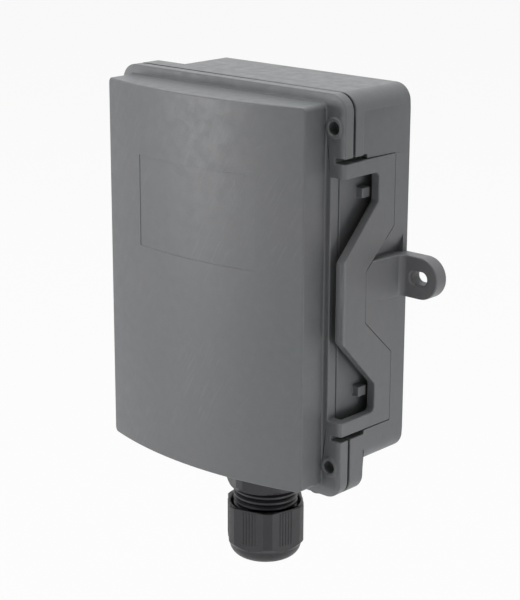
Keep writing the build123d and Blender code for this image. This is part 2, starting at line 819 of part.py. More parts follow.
# Silicone tubes from the ports' inner nipples to the pressure cell's
for tube_name, port_place, side in zip(("tube_plus", "tube_minus"), port_places, (-1, 1)):
    start_x = port_place[0]
    end_x = cell_x + side * cell_nipple_spacing / 2
    start_z = port_thread_end_z + tube_end_gap
    slope_z = start_z + tube_rise + abs(end_x - start_x) / tan(radians(tube_slope))
    with BuildPart() as tube:
        with BuildLine() as tube_route:
            FilletPolyline(
                (start_x, -port_depth, start_z),
                (start_x, -port_depth, start_z + tube_rise),
                (end_x, -port_depth, slope_z),
                (end_x, -port_depth, cell_bottom_z - tube_end_gap),
                radius=tube_bend,
            )
        with BuildSketch(Plane(origin=(start_x, -port_depth, start_z), z_dir=(0, 0, 1))):
            RegularPolygon(tube_diameter / 2, tube_sides)
            RegularPolygon(
                nipple_diameter / 2 + nipple_clearance, tube_sides, major_radius=False, mode=Mode.SUBTRACT
            )
        sweep(path=tube_route.wires()[0])
    tube.part.label = tube_name
    export_step(tube.part, "parts/" + tube_name + ".step")

# Circuit board on its four bosses
with BuildPart() as circuit_board:
    with BuildSketch(depth_plane(boss_face)):
        with Locations((board_mid_x, board_mid_z)):
            Rectangle(board_width, board_height)
        with Locations(*board_screw_places):
            Circle(board_hole / 2, mode=Mode.SUBTRACT)
    extrude(amount=board_thickness)
circuit_board.part.label = "circuit_board"
export_step(circuit_board.part, "parts/circuit_board.step")

with BuildPart() as board_screws:
    with BuildSketch(depth_plane(board_face)):
        with Locations(*board_screw_places):
            Circle(board_screw_head / 2)
    extrude(amount=board_screw_head_height)
    with BuildSketch(depth_plane(board_face)):
        with Locations(*board_screw_places):
            Circle(boss_pilot / 2 - boss_pilot_clearance)
    extrude(amount=-board_screw_length)
board_screws.part.label = "board_screws"
export_step(board_screws.part, "parts/board_screws.step")

# Pressure cell on the board
with BuildPart() as pressure_cell:
    with BuildSketch(depth_plane(board_face)):
        with Locations((cell_x, cell_bottom_z)):
            Rectangle(cell_width, cell_height, align=(Align.CENTER, Align.MIN))
    extrude(amount=cell_thickness)
    with BuildSketch(Plane.XY.offset(cell_bottom_z)):
        with Locations(
            (cell_x - cell_nipple_spacing / 2, -port_depth), (cell_x + cell_nipple_spacing / 2, -port_depth)
        ):
            Circle(nipple_diameter / 2)
    extrude(amount=-nipple_length)
pressure_cell.part.label = "pressure_cell"
export_step(pressure_cell.part, "parts/pressure_cell.step")

# Terminal block with its clamping screws
with BuildPart() as terminal_block:
    with BuildSketch(Plane.XY.offset(terminal_z - terminal_length / 2)):
        with BuildLine():
            Polyline(
                (terminal_x + terminal_width / 2, -board_face),
                (terminal_x + terminal_width / 2, -terminal_front),
                (terminal_x - terminal_width / 2 + terminal_step, -terminal_front),
                (terminal_x - terminal_width / 2, -terminal_front + terminal_step),
                (terminal_x - terminal_width / 2, -board_face),
                close=True,
            )
        make_face()
    extrude(amount=terminal_length)
    with BuildSketch(depth_plane(terminal_front)):
        with Locations(*terminal_screw_places):
            Circle(terminal_screw_diameter / 2 + terminal_clearance)
    extrude(amount=-terminal_screw_sink - terminal_screw_length, mode=Mode.SUBTRACT)
    with BuildSketch(Plane.YZ.offset(terminal_x - terminal_width / 2)):
        with Locations(*terminal_wire_places):
            Rectangle(terminal_wire_hole, terminal_wire_hole)
    extrude(amount=terminal_wire_hole_depth, mode=Mode.SUBTRACT)
terminal_block.part.label = "terminal_block"
export_step(terminal_block.part, "parts/terminal_block.step")

with BuildPart() as terminal_screws:
    with BuildSketch(depth_plane(terminal_front - terminal_screw_sink)):
        with Locations(*terminal_screw_places):
            Circle(terminal_screw_diameter / 2)
    extrude(amount=-terminal_screw_length)
    with BuildSketch(depth_plane(terminal_front - terminal_screw_sink)):
        with Locations(*terminal_screw_places):
            Rectangle(terminal_screw_diameter, terminal_screw_slot)
    extrude(amount=-terminal_screw_slot, mode=Mode.SUBTRACT)
terminal_screws.part.label = "terminal_screws"
export_step(terminal_screws.part, "parts/terminal_screws.step")

# Setting switches: a block with one lever in each slot
with BuildPart() as switch_block:
    with BuildSketch(depth_plane(board_face)):
        with Locations((switch_x, switch_z)):
            Rectangle(switch_count * switch_pitch + lever_width, switch_height)
    extrude(amount=switch_thickness)
    with BuildSketch(depth_plane(switch_front)):
        with Locations(*[(lever_x, switch_z) for lever_x in lever_places]):
            Rectangle(lever_width + 2 * lever_clearance, lever_height + lever_travel + 2 * lever_clearance)
    extrude(amount=-lever_root - lever_clearance, mode=Mode.SUBTRACT)
switch_block.part.label = "switch_block"
export_step(switch_block.part, "parts/switch_block.step")

for number, lever_x in enumerate(lever_places, start=1):
    with BuildPart() as lever:
        with BuildSketch(depth_plane(switch_front - lever_root)):
            with Locations((lever_x, switch_z - lever_travel / 2)):
                Rectangle(lever_width, lever_height)
        extrude(amount=lever_root + lever_stick_out)
    lever.part.label = "lever_" + str(number)
    export_step(lever.part, "parts/lever_" + str(number) + ".step")

# Zero button: a case with a short plunger
with BuildPart() as button_case:
    with BuildSketch(depth_plane(board_face)):
        with Locations((button_x, switch_z)):
            Rectangle(button_case_width, button_case_width)
    extrude(amount=button_case_thickness)
    with BuildSketch(depth_plane(button_front)):
        with Locations((button_x, switch_z)):
            Circle(button_diameter / 2 + button_clearance)
    extrude(amount=-button_root - button_travel - button_clearance, mode=Mode.SUBTRACT)
button_case.part.label = "button_case"
export_step(button_case.part, "parts/button_case.step")

with BuildPart() as zero_button:
    with BuildSketch(depth_plane(button_front - button_root)):
        with Locations((button_x, switch_z)):
            Circle(button_diameter / 2)
    extrude(amount=button_root + button_stick_out)
zero_button.part.label = "zero_button"
export_step(zero_button.part, "parts/zero_button.step")

# Processor, capacitors and status lamp
with BuildPart() as processor:
    with BuildSketch(depth_plane(board_face)):
        with Locations((chip_x, chip_z)):
            Rectangle(chip_width, chip_width)
    extrude(amount=chip_thickness)
processor.part.label = "processor"
export_step(processor.part, "parts/processor.step")

with BuildPart() as capacitors:
    with BuildSketch(depth_plane(board_face)):
        with Locations((capacitor_x, capacitor_z), (capacitor_x, capacitor_z - capacitor_pitch)):
            Circle(capacitor_diameter / 2)
    extrude(amount=capacitor_length)
capacitors.part.label = "capacitors"
export_step(capacitors.part, "parts/capacitors.step")

with BuildPart() as status_lamp:
    with BuildSketch(depth_plane(board_face)):
        with Locations((lamp_x, switch_z)):
            Circle(lamp_diameter / 2)
    extrude(amount=lamp_length)
    chamfer(status_lamp.faces().sort_by(Axis.Y)[0].edges(), lamp_chamfer)
status_lamp.part.label = "status_lamp"
export_step(status_lamp.part, "parts/status_lamp.step")
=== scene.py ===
import json
from math import atan2, cos, pi, radians
import bmesh
import bpy
from mathutils import Matrix, Vector


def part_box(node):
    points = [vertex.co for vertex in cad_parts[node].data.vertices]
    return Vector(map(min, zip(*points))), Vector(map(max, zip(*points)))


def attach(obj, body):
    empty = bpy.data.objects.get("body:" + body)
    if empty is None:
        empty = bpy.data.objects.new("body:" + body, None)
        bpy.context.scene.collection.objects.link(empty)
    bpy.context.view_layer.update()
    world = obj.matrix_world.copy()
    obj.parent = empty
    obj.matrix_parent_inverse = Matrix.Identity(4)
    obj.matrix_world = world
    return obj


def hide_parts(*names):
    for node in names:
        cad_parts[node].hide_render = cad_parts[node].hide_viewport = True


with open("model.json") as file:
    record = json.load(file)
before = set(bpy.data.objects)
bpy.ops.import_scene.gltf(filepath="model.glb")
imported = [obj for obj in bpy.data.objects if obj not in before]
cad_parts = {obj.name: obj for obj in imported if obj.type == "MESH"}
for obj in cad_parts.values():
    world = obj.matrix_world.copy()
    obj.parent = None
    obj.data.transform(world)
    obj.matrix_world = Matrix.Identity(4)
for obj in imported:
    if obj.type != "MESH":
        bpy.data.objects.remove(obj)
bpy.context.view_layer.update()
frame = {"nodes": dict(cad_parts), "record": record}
MM = 0.001

# Camera, light and floor

ROOM_GREY = 0.18
FLOOR_GREY = 0.78
FLOOR_GLOW = 0.93
FLOOR_HEIGHT = -0.15
FLOOR_HALF_WIDTH = 3.0
# name, place, point it looks at, width in metres, watts
LAMPS = (
    ("lamp_top", (-0.05, 0.03, 1.08), (0.0, 0.0, 0.0), 0.8, 10.5),
    ("lamp_left", (-0.78, -1.08, 0.0), (0.0, 0.0, -0.02), 0.38, 7.4),
    ("lamp_right", (0.30, 0.02, -0.12), (0.04, -0.02, -0.05), 0.12, 0.23),
)


def place_camera():
    """Camera at the photograph's viewing angle, for an image of 520 by 600."""
    place = (0.3373, -0.3907, 0.1331)
    azimuth, elevation, tilt = radians(41.897), radians(16.218), radians(0.217)
    lens = bpy.data.cameras.new("camera")
    lens.lens = 107.04
    lens.sensor_width = 36.0
    lens.clip_start, lens.clip_end = 0.01, 20.0
    camera = bpy.data.objects.new("camera", lens)
    aim = Matrix.Rotation(azimuth, 4, "Z") @ Matrix.Rotation(pi / 2 - elevation, 4, "X")
    camera.matrix_world = Matrix.Translation(place) @ aim @ Matrix.Rotation(tilt, 4, "Z")
    bpy.context.scene.collection.objects.link(camera)
    bpy.context.scene.camera = camera


def place_lamp(name, where, aim, size, watts):
    """Square soft light that looks at a point."""
    lamp = bpy.data.lights.new(name, "AREA")
    lamp.size, lamp.energy = size, watts
    holder = bpy.data.objects.new(name, lamp)
    direction = Vector(aim) - Vector(where)
    holder.matrix_world = Matrix.Translation(where) @ direction.to_track_quat("-Z", "Y").to_matrix().to_4x4()
    bpy.context.scene.collection.objects.link(holder)


def seen_directly(nodes, links):
    """Value that is 1 for rays from the camera, a reflection or a clear material."""
    path = nodes.new("ShaderNodeLightPath")
    first = nodes.new("ShaderNodeMath")
    second = nodes.new("ShaderNodeMath")
    first.operation = second.operation = "MAXIMUM"
    links.new(path.outputs["Is Camera Ray"], first.inputs[0])
    links.new(path.outputs["Is Glossy Ray"], first.inputs[1])
    links.new(first.outputs[0], second.inputs[0])
    links.new(path.outputs["Is Transmission Ray"], second.inputs[1])
    return second.outputs[0]


def light_the_room():
    """White surroundings to look at, and a plain grey light from all round."""
    world = bpy.data.worlds.new("room")
    world.use_nodes = True
    bpy.context.scene.world = world
    nodes, links = world.node_tree.nodes, world.node_tree.links
    soft = nodes["Background"]
    soft.inputs["Color"].default_value = (1, 1, 1, 1)
    soft.inputs["Strength"].default_value = ROOM_GREY
    white = nodes.new("ShaderNodeBackground")
    white.inputs["Strength"].default_value = 1.0
    white.inputs["Color"].default_value = (1, 1, 1, 1)
    mix = nodes.new("ShaderNodeMixShader")
    links.new(seen_directly(nodes, links), mix.inputs["Fac"])
    links.new(soft.outputs[0], mix.inputs[1])
    links.new(white.outputs[0], mix.inputs[2])
    links.new(mix.outputs[0], nodes["World Output"].inputs["Surface"])
    for lamp in LAMPS:
        place_lamp(*lamp)


def lay_floor():
    """Plain pale floor a little below the part."""
    floor_finish = bpy.data.materials.new("floor_paper")
    floor_finish.use_nodes = True
    nodes, links = floor_finish.node_tree.nodes, floor_finish.node_tree.links
    matte = nodes["Principled BSDF"]
    matte.inputs["Base Color"].default_value = (FLOOR_GREY, FLOOR_GREY, FLOOR_GREY, 1)
    matte.inputs["Roughness"].default_value = 1.0
    matte.inputs["Specular IOR Level"].default_value = 0.0
    glow = nodes.new("ShaderNodeEmission")
    share = nodes.new("ShaderNodeMath")
    share.operation = "MULTIPLY"
    share.inputs[1].default_value = FLOOR_GLOW
    links.new(seen_directly(nodes, links), share.inputs[0])
    mix = nodes.new("ShaderNodeMixShader")
    links.new(share.outputs[0], mix.inputs["Fac"])
    links.new(matte.outputs[0], mix.inputs[1])
    links.new(glow.outputs[0], mix.inputs[2])
    links.new(mix.outputs[0], nodes["Material Output"].inputs["Surface"])
    sheet = bmesh.new()
    bmesh.ops.create_grid(sheet, x_segments=1, y_segments=1, size=FLOOR_HALF_WIDTH)
    bmesh.ops.translate(sheet, verts=sheet.verts, vec=(0, 0, FLOOR_HEIGHT))
    mesh = bpy.data.meshes.new("floor")
    sheet.to_mesh(mesh)
    sheet.free()
    mesh.materials.append(floor_finish)
    floor = bpy.data.objects.new("floor", mesh)
    bpy.context.scene.collection.objects.link(floor)


# Finishes


class Finish:
    """One material under construction: its shader and short calls that add nodes."""

    def __init__(self, name, colour, roughness, metal=0.0):
        self.material = bpy.data.materials.new(name)
        self.material.use_nodes = True
        self.nodes = self.material.node_tree.nodes
        self.links = self.material.node_tree.links
        self.shader = self.nodes["Principled BSDF"]
        self.shader.inputs["Base Color"].default_value = (*colour, 1)
        self.shader.inputs["Roughness"].default_value = roughness
        self.shader.inputs["Metallic"].default_value = metal
        self.place = self.nodes.new("ShaderNodeTexCoord").outputs["Object"]
        self.height = None

    def noise(self, scale, detail=3.0, stretch=None, turn=(0, 0, 0)):
        """Noise pattern on the piece's own coordinates, turned and then pulled to lengths in metres."""
        where = self.place
        if stretch:
            mapping = self.nodes.new("ShaderNodeMapping")
            mapping.vector_type = "TEXTURE"
            mapping.inputs["Scale"].default_value = stretch
            mapping.inputs["Rotation"].default_value = turn
            self.links.new(where, mapping.inputs["Vector"])
            where = mapping.outputs[0]
        pattern = self.nodes.new("ShaderNodeTexNoise")
        pattern.inputs["Scale"].default_value = scale
        pattern.inputs["Detail"].default_value = detail
        self.links.new(where, pattern.inputs["Vector"])
        return pattern.outputs["Fac"]

    def span(self, value, low, high, start=0.3, stop=0.7):
        """Value brought from start..stop to low..high."""
        step = self.nodes.new("ShaderNodeMapRange")
        for socket, number in (("From Min", start), ("From Max", stop), ("To Min", low), ("To Max", high)):
            step.inputs[socket].default_value = number
        self.links.new(value, step.inputs["Value"])
        return step.outputs[0]

    def product(self, first, second):
        """Two patterns multiplied."""
        step = self.nodes.new("ShaderNodeMath")
        step.operation = "MULTIPLY"
        self.links.new(first, step.inputs[0])
        self.links.new(second, step.inputs[1])
        return step.outputs[0]

    def marked(self, name):
        """Value that the faces of a piece carry under a name, 0 where they carry none."""
        mark = self.nodes.new("ShaderNodeAttribute")
        mark.attribute_name = name
        return mark.outputs["Fac"]

    def tint(self, value, colour):
        """Base colour moved towards another one where the value is high."""
        blend = self.nodes.new("ShaderNodeMix")
        blend.data_type = "RGBA"
        before = self.shader.inputs["Base Color"]
        if before.is_linked:
            self.links.new(before.links[0].from_socket, blend.inputs["A"])
        else:
            blend.inputs["A"].default_value = before.default_value[:]
        blend.inputs["B"].default_value = (*colour, 1)
        self.links.new(value, blend.inputs["Factor"])
        self.links.new(blend.outputs["Result"], before)

    def sheen_from(self, value, low, high):
        """Roughness that follows a pattern."""
        self.links.new(self.span(value, low, high), self.shader.inputs["Roughness"])

    def relief(self, value, depth):
        """Adds a bump of that depth in metres."""
        bump = self.nodes.new("ShaderNodeBump")
        bump.inputs["Strength"].default_value = 1.0
        bump.inputs["Distance"].default_value = depth
        self.links.new(value, bump.inputs["Height"])
        if self.height:
            self.links.new(self.height, bump.inputs["Normal"])
        self.height = bump.outputs[0]
        self.links.new(self.height, self.shader.inputs["Normal"])


def housing_plastic():
    """Grey moulded plastic: soft mottling, a fine spark-eroded grain and faint handling marks."""
    finish = Finish("housing_plastic", (0.148, 0.158, 0.162), 0.5)
    finish.tint(finish.span(finish.noise(28, 3), 0.0, 0.8), (0.172, 0.170, 0.178))
    finish.tint(finish.span(finish.noise(420, 4), 0.0, 0.3, 0.4, 0.7), (0.182, 0.188, 0.192))
    scuffs = finish.noise(1.0, 5, (0.0008, 0.01, 0.008), (0.0, radians(28), 0.0))
    worn = finish.product(finish.marked("front"), finish.span(finish.noise(40, 1), 0.0, 1.0, 0.42, 0.62))
    finish.tint(finish.product(worn, finish.span(scuffs, 0.0, 0.4, 0.54, 0.74)), (0.225, 0.232, 0.238))
    finish.sheen_from(finish.noise(300, 4), 0.36, 0.50)
    finish.relief(finish.noise(2600, 2), 0.00003)
    finish.relief(finish.noise(220, 3), 0.000022)
    return finish.material


def gland_plastic():
    """Near-black moulded nylon with a soft sheen."""
    finish = Finish("gland_plastic", (0.021, 0.020, 0.024), 0.40)
    finish.tint(finish.span(finish.noise(300, 3), 0.0, 0.7), (0.029, 0.028, 0.033))
    finish.sheen_from(finish.noise(500, 3), 0.36, 0.50)
    finish.relief(finish.noise(3000, 2), 0.00002)
    return finish.material


def black_rubber():
    """Matte rubber with a dusty bloom."""
    finish = Finish("black_rubber", (0.018, 0.018, 0.018), 0.75)
    finish.tint(finish.span(finish.noise(400, 3), 0.0, 0.6), (0.035, 0.035, 0.036))
    finish.sheen_from(finish.noise(900, 2), 0.65, 0.85)
    finish.relief(finish.noise(4000, 2), 0.00003)
    return finish.material


def foam():
    """Closed-cell foam with open pores at its cut faces."""
    finish = Finish("foam", (0.03, 0.03, 0.033), 0.9)
    pores = finish.nodes.new("ShaderNodeTexVoronoi")
    pores.inputs["Scale"].default_value = 2500
    finish.links.new(finish.place, pores.inputs["Vector"])
    finish.tint(finish.span(pores.outputs["Distance"], 0.0, 0.8, 0.2, 0.6), (0.06, 0.06, 0.065))
    finish.relief(pores.outputs["Distance"], 0.0001)
    return finish.material


def turned_steel(name, colour, roughness):
    """Zinc-plated or bare steel with fine drawn lines."""
    finish = Finish(name, colour, roughness, metal=1.0)
    lines = finish.noise(1.0, 2, (0.00017, 0.00017, 0.005))
    finish.tint(finish.span(lines, 0.0, 0.5), tuple(0.7 * part for part in colour))
    finish.sheen_from(finish.noise(800, 2), roughness - 0.08, roughness + 0.1)
    finish.relief(lines, 0.00001)
    return finish.material


def plain_plastic(name, colour, light, roughness):
    """Small moulded part: slight colour drift, uneven sheen and fine grain."""
    finish = Finish(name, colour, roughness)
    finish.tint(finish.span(finish.noise(350, 3), 0.0, 0.6), light)
    finish.sheen_from(finish.noise(900, 2), roughness - 0.06, roughness + 0.08)
    finish.relief(finish.noise(3500, 2), 0.00002)
    return finish.material


def silicone():
    """Milky silicone tube."""
    finish = Finish("silicone", (0.66, 0.66, 0.62), 0.38)
    finish.shader.inputs["Subsurface Weight"].default_value = 0.35
    finish.shader.inputs["Subsurface Radius"].default_value = (0.002, 0.002, 0.0018)
    finish.shader.inputs["Subsurface Scale"].default_value = 1.0
    finish.tint(finish.span(finish.noise(500, 3), 0.0, 0.5), (0.74, 0.74, 0.71))
    finish.sheen_from(finish.noise(700, 2), 0.32, 0.45)
    return finish.material


def board_laminate():
    """Green solder mask over laminate: soft cloudiness and the fine weave below it."""
    finish = Finish("board_laminate", (0.012, 0.105, 0.045), 0.3)
    finish.tint(finish.span(finish.noise(60, 2), 0.0, 0.35), (0.008, 0.075, 0.035))
    weave = finish.product(
        finish.noise(1.0, 1, (0.0006, 0.004, 0.00012)), finish.noise(1.0, 1, (0.00012, 0.004, 0.0006))
    )
    finish.tint(finish.span(weave, 0.0, 0.4, 0.2, 0.32), (0.02, 0.14, 0.06))
    finish.sheen_from(finish.noise(400, 2), 0.26, 0.36)
    finish.relief(finish.noise(900, 2), 0.00001)
    return finish.material


FINISHES = {
    "housing": housing_plastic(),
    "foam": foam(),
    "steel_pin": turned_steel("pin_steel", (0.55, 0.55, 0.56), 0.3),
    "gland_plastic": gland_plastic(),
    "gland_rubber": black_rubber(),
    "ring_plastic": plain_plastic("ring_plastic", (0.07, 0.07, 0.075), (0.10, 0.10, 0.105), 0.5),
    "port_plastic": plain_plastic("port_plastic", (0.06, 0.06, 0.065), (0.08, 0.08, 0.085), 0.42),
    "tube_silicone": silicone(),
    "board": board_laminate(),
    "screw_steel": turned_steel("screw_steel", (0.62, 0.61, 0.58), 0.28),
    "cell_plastic": plain_plastic("cell_plastic", (0.70, 0.70, 0.67), (0.76, 0.76, 0.74), 0.35),
    "terminal_plastic": plain_plastic("terminal_plastic", (0.015, 0.13, 0.05), (0.02, 0.16, 0.065), 0.4),
    "switch_plastic": plain_plastic("switch_plastic", (0.015, 0.05, 0.26), (0.02, 0.065, 0.31), 0.38),
    "lever_plastic": plain_plastic("lever_plastic", (0.75, 0.75, 0.71), (0.80, 0.80, 0.77), 0.4),
    "button_metal": turned_steel("button_metal", (0.5, 0.5, 0.5), 0.35),
    "button_plastic": plain_plastic("button_plastic", (0.02, 0.02, 0.02), (0.03, 0.03, 0.03), 0.45),
    "chip_plastic": plain_plastic("chip_plastic", (0.012, 0.012, 0.012), (0.02, 0.02, 0.02), 0.55),
    "capacitor_sleeve": turned_steel("capacitor_can", (0.6, 0.6, 0.62), 0.25),
    "board_tracks": plain_plastic("board_tracks", (0.025, 0.19, 0.075), (0.035, 0.24, 0.10), 0.28),
    "board_print": plain_plastic("board_print", (0.62, 0.63, 0.60), (0.70, 0.71, 0.68), 0.6),
    "lamp_plastic": plain_plastic("lamp_plastic", (0.05, 0.32, 0.08), (0.08, 0.40, 0.11), 0.2),
}

# Pieces

CREASE = radians(28)
FLAT = radians(0.8)
SAME_POINT = 0.002 * MM
EDGE_STEPS = 2
GLAND_AXIS = Vector((0.5, -12.4, 0)) * MM


def add_piece(name, shape, slot, body, stands_for=(), edge=0.0, edge_at=None, finish=None):
    """Makes an object of a finished shape and gives it the finish of its slot, or the finish named, its edges
    and its body.

    A crease is rounded by the width in mm that edge_at gives for its middle, or by edge.
    """
    if edge:
        share = shape.edges.layers.float.new("bevel_weight_edge")
        for line in shape.edges:
            if len(line.link_faces) == 2 and line.calc_face_angle(0) > CREASE:
                middle = (line.verts[0].co + line.verts[1].co) / 2 / MM
                line[share] = min(1.0, (edge_at(middle) if edge_at else edge) / edge)
    for face in shape.faces:
        face.smooth = True
    mesh = bpy.data.meshes.new(name)
    shape.to_mesh(mesh)
    shape.free()
    mesh.materials.append(FINISHES[finish or slot])
    mesh.set_sharp_from_angle(angle=CREASE)
    piece = bpy.data.objects.new(name, mesh)
    bpy.context.scene.collection.objects.link(piece)
    if edge:
        rounding = piece.modifiers.new("rounded edges", "BEVEL")
        rounding.width = edge * MM
        rounding.segments = EDGE_STEPS
        rounding.limit_method = "WEIGHT"
        rounding.use_clamp_overlap = False
        shading = piece.modifiers.new("even shading", "WEIGHTED_NORMAL")
        shading.keep_sharp = True
    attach(piece, body)
    if stands_for:
        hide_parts(*stands_for)
    return piece


def copy_of(node):
    """Joined copy of a CAD node's mesh, with flat faces made whole."""
    shape = bmesh.new()
    shape.from_mesh(frame["nodes"][node].data)
    bmesh.ops.remove_doubles(shape, verts=shape.verts, dist=SAME_POINT)
    bmesh.ops.dissolve_limit(shape, angle_limit=FLAT, verts=shape.verts, edges=shape.edges)
    return shape


def body_of(node):
    """Name of the body that a CAD node belongs to."""
    bodies = frame["record"]["behaviour"]["bodies"]
    return next(body for body, members in bodies.items() if node in members)


def slot_of(node):
    """Record's material slot of a CAD node."""
    return next(part["material_slot"] for part in frame["record"]["subparts"] if part["node"] == node)


def dress(node):
    """Keeps a CAD node and gives it its finish."""
    holder = frame["nodes"][node]
    if not holder.data.materials:
        holder.data.materials.append(None)
    for place in holder.material_slots:
        place.material = FINISHES[slot_of(node)]


def soften(node, edge, edge_at=None):
    """Stands a copy with rounded edges in a CAD node's place."""
    add_piece(node + "_moulded", copy_of(node), slot_of(node), body_of(node), (node,), edge, edge_at)


def gland_profile(shape, profile):
    """Line through (radius, height) pairs in mm beside the gland's axis, and its points."""
    points = [shape.verts.new((GLAND_AXIS.x + r * MM, GLAND_AXIS.y, z * MM)) for r, z in profile]
    for first, second in zip(points, points[1:]):
        shape.edges.new((first, second))
    return points


def gland_core():
    """Round tube of the gland's neck, below its hexagon."""
    bore, root, bottom, top = 5.5, 8.7, -88.0, -71.6
    shape = bmesh.new()
    points = gland_profile(shape, [(bore, bottom), (root, bottom), (root, top), (bore, top)])
    shape.edges.new((points[-1], points[0]))
    bmesh.ops.spin(
        shape, geom=shape.verts[:] + shape.edges[:], cent=GLAND_AXIS, axis=(0, 0, 1),
        angle=2 * pi, steps=72, use_merge=True,
    )
    bmesh.ops.remove_doubles(shape, verts=shape.verts, dist=0.001 * MM)
    bmesh.ops.recalc_face_normals(shape, faces=shape.faces)
    return shape


def gland_thread():
    """Rounded thread ridge that winds round the gland's neck."""
    shape = bmesh.new()
    turns, pitch, per_turn, top = 10, 1.75, 48, -70.2
    ridge = [(8.6, 0.84), (9.4, 0.62), (9.8, 0.25), (9.8, -0.25), (9.4, -0.62), (8.6, -0.84)]
    gland_profile(shape, [(radius, top + height) for radius, height in ridge])
    bmesh.ops.spin(
        shape, geom=shape.verts[:] + shape.edges[:], cent=GLAND_AXIS, axis=(0, 0, 1),
        dvec=(0, 0, -pitch * MM / per_turn), angle=2 * pi * turns, steps=turns * per_turn,
    )
    bmesh.ops.recalc_face_normals(shape, faces=shape.faces)
    return shape


def grip_ribs():
    """Five fine upright ribs on each flat of the nut."""
    shape = bmesh.new()
    ribs, radius, length, spacing = 5, 0.3 * MM, 10.6 * MM, 1.0 * MM
    from_axis, height, first_flat = 11.22 * MM, -83.3 * MM, -15
    for flat in range(6):
        turn = Matrix.Translation(GLAND_AXIS) @ Matrix.Rotation(radians(60 * flat + first_flat), 4, "Z")
        for number in range(ribs):
            place = turn @ Matrix.Translation((from_axis, (number - ribs // 2) * spacing, height))
            bmesh.ops.create_cone(
                shape, cap_ends=True, segments=16, radius1=radius, radius2=radius, depth=length, matrix=place
            )
    return shape


def hexagon_edge(middle):
    """Edge radius of the gland body at a place in mm: none on its cone."""
    cone_top = -66.0
    return 0.25 if middle.z > cone_top else 0.0


def build_gland():
    """Gland body with its thread, and the dome nut with grip ribs."""
    neck_cut, nut_swell = -71.9, 1.029
    upper = copy_of("gland_body")
    cut = bmesh.ops.bisect_plane(
        upper, geom=upper.verts[:] + upper.edges[:] + upper.faces[:], dist=0.001 * MM,
        plane_co=(0, 0, neck_cut * MM), plane_no=(0, 0, -1), clear_outer=True,
    )
    rims = [part for part in cut["geom_cut"] if isinstance(part, bmesh.types.BMEdge)]
    bmesh.ops.bridge_loops(upper, edges=rims)
    bmesh.ops.recalc_face_normals(upper, faces=upper.faces)
    add_piece("gland_body_hexagon", upper, "gland_plastic", "housing", ("gland_body",), 0.25, hexagon_edge)
    add_piece("gland_body_core", gland_core(), "gland_plastic", "housing", ("gland_body",))
    add_piece("gland_body_thread", gland_thread(), "gland_plastic", "housing", ("gland_body",))
    shell = copy_of("gland_nut")
    around_axis = Matrix.Translation(-GLAND_AXIS)
    bmesh.ops.scale(shell, vec=(nut_swell, nut_swell, 1.0), verts=shell.verts, space=around_axis)
    add_piece("gland_nut_shell", shell, "gland_plastic", "gland_nut", ("gland_nut",), 0.25)
    add_piece("gland_nut_ribs", grip_ribs(), "gland_plastic", "gland_nut", ("gland_nut",))


HOUSING_EDGE = 0.3
SEAM_EDGE = 0.08
LABEL_EDGE = 0.05
STRAP_MIDDLE = -4.0


def base_edge(middle):
    """Edge radius of the base at a place in mm: none where the box runs into the rim's top."""
    box_top, left_corner = 53.0, -26.0
    pocket_floor, side_wall, pocket_front = 40.0, 42.7, -23.5
    bar_side, arm_end = 6.5, 40.0
    from_middle = abs(middle.z - STRAP_MIDDLE)
    if middle.z > box_top and middle.x < left_corner:
        return 0.0
    in_pocket = pocket_floor < middle.x < side_wall and middle.y > pocket_front
    if in_pocket and bar_side < from_middle < arm_end:
        return SEAM_EDGE
    return HOUSING_EDGE


def lid_edge(middle):
    """Edge radius of the lid at a place in mm: fine round the label field and at the strap's seam."""
    panel_front, label_half_height = -37.5, 31.5
    seam_x, seam_front, arm_front, bars_half_height = 42.4, -18.6, -13.3, 20.0
    pad_x, pad_front, pad_half_height = 41.0, -25.2, 13.0
    from_middle = abs(middle.z - STRAP_MIDDLE)
    if middle.y < panel_front and abs(middle.z) < label_half_height:
        return LABEL_EDGE
    before_arm = middle.y < arm_front and from_middle > bars_half_height
    if middle.x > seam_x and middle.y > seam_front and not before_arm:
        return SEAM_EDGE
    if middle.x > pad_x and middle.y < pad_front and from_middle < pad_half_height:
        return 0.0
    return HOUSING_EDGE


def mark_front(shape):
    """Marks the outer faces of the front panel, which carry the handling marks."""
    panel_depth = -35.0 * MM
    mark = shape.faces.layers.float.new("front")
    for face in shape.faces:
        outer = face.normal.y < -0.5 and face.calc_center_median().y < panel_depth
        face[mark] = 1.0 if outer else 0.0


def close_strap_seam(shape):
    """Moves the strap's back and end faces near the pocket they lie in, to leave a fine seam."""
    backward, outward = 0.18 * MM, 0.15 * MM
    inner_x, back_depths, end_depths, arm_end = 39.5, (6.5, 18.5), (6.0, 23.0), 38.7
    strap = [point for point in shape.verts if point.co.x > inner_x * MM]
    back = [point for point in strap if min(abs(point.co.y / MM + depth) for depth in back_depths) < 0.01]
    ends = [
        point for point in strap
        if end_depths[0] < -point.co.y / MM < end_depths[1] and abs(point.co.z / MM - STRAP_MIDDLE) > arm_end
    ]
    bmesh.ops.translate(shape, verts=back, vec=(0, backward, 0))
    for side in (1, -1):
        outer = [point for point in ends if point.co.z * side > 0]
        bmesh.ops.translate(shape, verts=outer, vec=(0, 0, outward * side))


def build_housing():
    """Base and lid with the small edge radii of a moulding."""
    soften("base", HOUSING_EDGE, base_edge)
    lid = copy_of("lid")
    close_strap_seam(lid)
    mark_front(lid)
    # whole, a face with this many corners would close the hollow it runs round once it is rounded
    many_corners = 100
    rings = [face for face in lid.faces if len(face.verts) > many_corners]
    bmesh.ops.triangulate(lid, faces=rings)
    add_piece("lid_moulded", lid, "housing", "lid", ("lid",), HOUSING_EDGE, lid_edge)


def build_ports():
    """Ports with softened edges."""
    for node in ("port_plus", "port_minus"):
        soften(node, 0.15)


